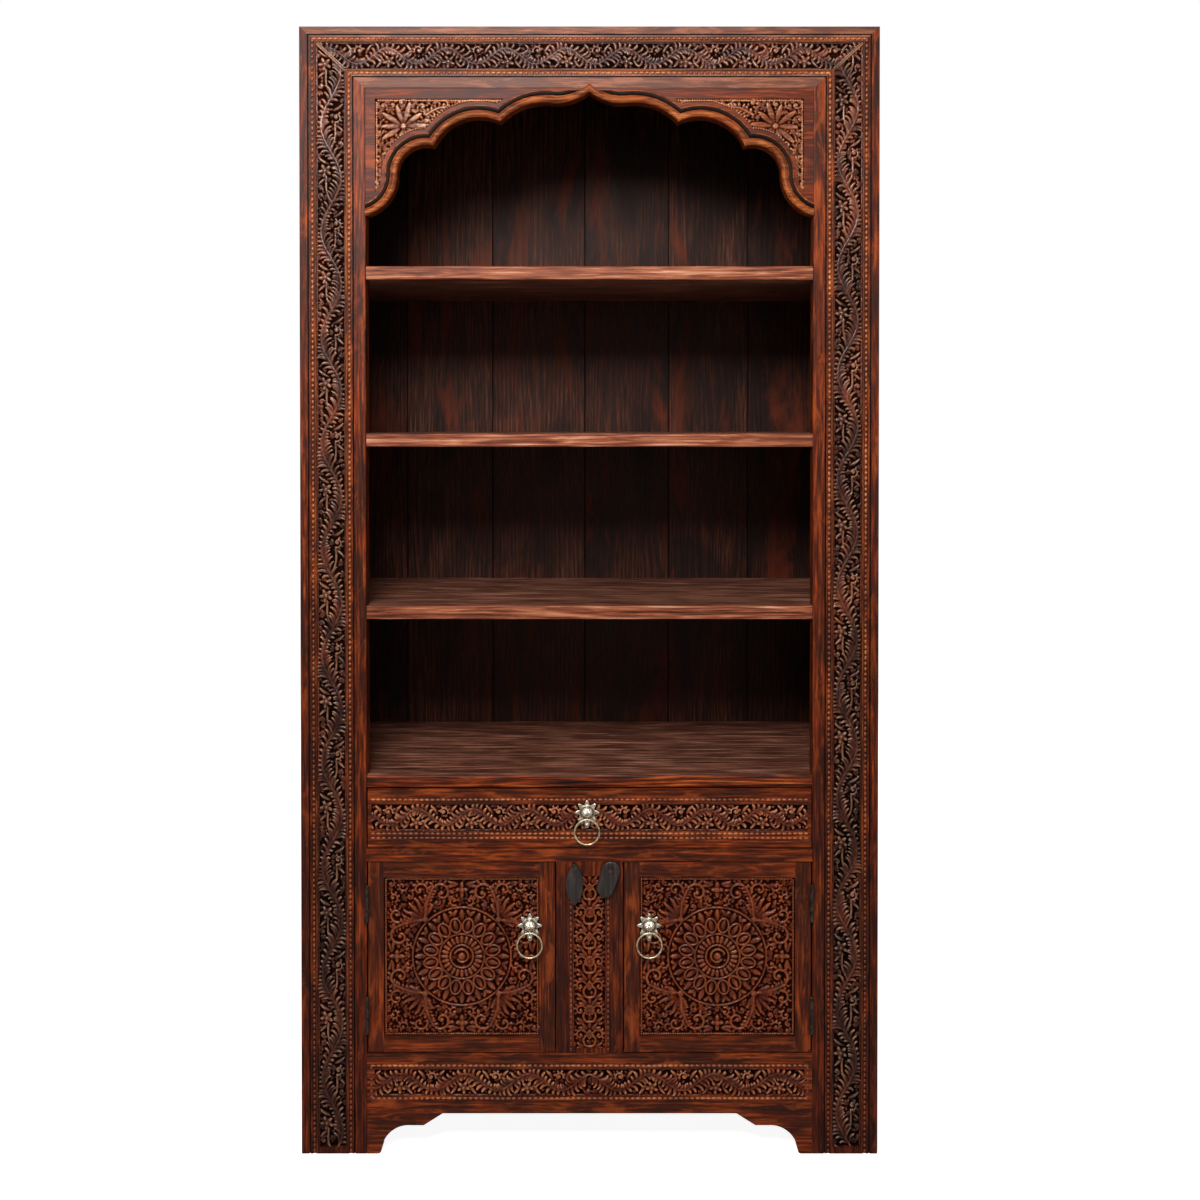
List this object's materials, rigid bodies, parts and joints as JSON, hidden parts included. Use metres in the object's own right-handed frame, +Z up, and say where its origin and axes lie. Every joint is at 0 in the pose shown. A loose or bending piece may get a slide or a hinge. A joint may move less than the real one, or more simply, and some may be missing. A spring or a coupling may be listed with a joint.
{
  "type": "carved bookcase cabinet",
  "caption": "Tall carved hardwood bookcase: open shelves under a lobed arch, a ring-pull drawer, and a cupboard with framed doors on butt hinges held by wooden turn buttons.",
  "frame": {"origin": "on the floor, under the middle of the whole piece's box (width 938 mm, depth 393.9 mm with the pulls)", "axes": "+Z up; the carved front faces -Y; +X is to the right of someone looking at the front"},
  "size_m": [0.938, 0.3939, 1.83],
  "materials": {
    "carved_hardwood": "hand-carved tropical hardwood, dark red-brown stain and wax, worn orange on the edges",
    "back_planking": "rough-planed dark stained boards",
    "inner_timber": "planed unstained secondary timber",
    "ebonised_wood": "blackened, rubbed smooth",
    "forged_iron": "dark waxed iron",
    "antique_nickel": "worn cast nickel silver with dark recesses",
    "brass": "dull aged brass"
  },
  "bodies": {
    "cabinet": {"side_panel_left": "carved_hardwood", "side_panel_right": "carved_hardwood", "top_board": "carved_hardwood", "shelf_upper": "carved_hardwood", "shelf_middle": "carved_hardwood", "shelf_lower": "carved_hardwood", "counter_board": "carved_hardwood", "bottom_board": "carved_hardwood", "back_plank_1": "back_planking", "back_plank_2": "back_planking", "back_plank_3": "back_planking", "back_plank_4": "back_planking", "back_plank_5": "back_planking", "back_plank_6": "back_planking", "surround_stile_left": "carved_hardwood", "surround_stile_right": "carved_hardwood", "surround_head": "carved_hardwood", "arch_panel": "carved_hardwood", "arch_moulding": "carved_hardwood", "mid_rail": "carved_hardwood", "centre_post": "carved_hardwood", "base_rail": "carved_hardwood", "bracket_left": "carved_hardwood", "bracket_right": "carved_hardwood", "drawer_runner_left": "inner_timber", "drawer_runner_right": "inner_timber", "hinge_leaves_frame": "forged_iron", "hinge_screws_frame": "forged_iron", "hinge_pins": "forged_iron", "button_screws": "brass"},
    "drawer": {"drawer_front": "carved_hardwood", "drawer_side_left": "inner_timber", "drawer_side_right": "inner_timber", "drawer_back": "inner_timber", "drawer_bottom": "inner_timber", "pull_plate_drawer": "antique_nickel", "pull_staple_drawer": "antique_nickel"},
    "door_left": {"door_left_hinge_stile": "carved_hardwood", "door_left_lock_stile": "carved_hardwood", "door_left_top_rail": "carved_hardwood", "door_left_bottom_rail": "carved_hardwood", "door_left_panel": "carved_hardwood", "hinge_leaves_door_left": "forged_iron", "hinge_screws_door_left": "forged_iron", "pull_plate_left": "antique_nickel", "pull_staple_left": "antique_nickel"},
    "door_right": {"door_right_hinge_stile": "carved_hardwood", "door_right_lock_stile": "carved_hardwood", "door_right_top_rail": "carved_hardwood", "door_right_bottom_rail": "carved_hardwood", "door_right_panel": "carved_hardwood", "hinge_leaves_door_right": "forged_iron", "hinge_screws_door_right": "forged_iron", "pull_plate_right": "antique_nickel", "pull_staple_right": "antique_nickel"},
    "button_left": {"turn_button_left": "ebonised_wood"},
    "button_right": {"turn_button_right": "ebonised_wood"},
    "ring_drawer": {"pull_ring_drawer": "antique_nickel"},
    "ring_left": {"pull_ring_left": "antique_nickel"},
    "ring_right": {"pull_ring_right": "antique_nickel"}
  },
  "joints": [
    {"name": "drawer_slide", "type": "slide", "parent": "cabinet", "child": "drawer", "axis": [0, -1, 0], "range_m": [0, 0.25]},
    {"name": "door_left_hinge", "type": "hinge", "parent": "cabinet", "child": "door_left", "pos_m": [-0.3608, -0.18705, 0.32095], "axis": [0, 0, -1], "range_deg": [0, 105]},
    {"name": "door_right_hinge", "type": "hinge", "parent": "cabinet", "child": "door_right", "pos_m": [0.3608, -0.18705, 0.32095], "axis": [0, 0, 1], "range_deg": [0, 105]},
    {"name": "button_left_turn", "type": "hinge", "parent": "cabinet", "child": "button_left", "pos_m": [-0.0243, -0.18785, 0.4704], "axis": [0, 1, 0], "range_deg": [0, 90]},
    {"name": "button_right_turn", "type": "hinge", "parent": "cabinet", "child": "button_right", "pos_m": [0.0349, -0.18785, 0.4659], "axis": [0, -1, 0], "range_deg": [0, 107]},
    {"name": "ring_drawer_swing", "type": "hinge", "parent": "drawer", "child": "ring_drawer", "pos_m": [-0.004, -0.19255, 0.5483], "axis": [-1, 0, 0], "range_deg": [-8, 110]},
    {"name": "ring_left_swing", "type": "hinge", "parent": "door_left", "child": "ring_left", "pos_m": [-0.097, -0.19255, 0.3641], "axis": [-1, 0, 0], "range_deg": [-8, 110]},
    {"name": "ring_right_swing", "type": "hinge", "parent": "door_right", "child": "ring_right", "pos_m": [0.097, -0.19255, 0.3641], "axis": [-1, 0, 0], "range_deg": [-8, 110]}
  ]
}
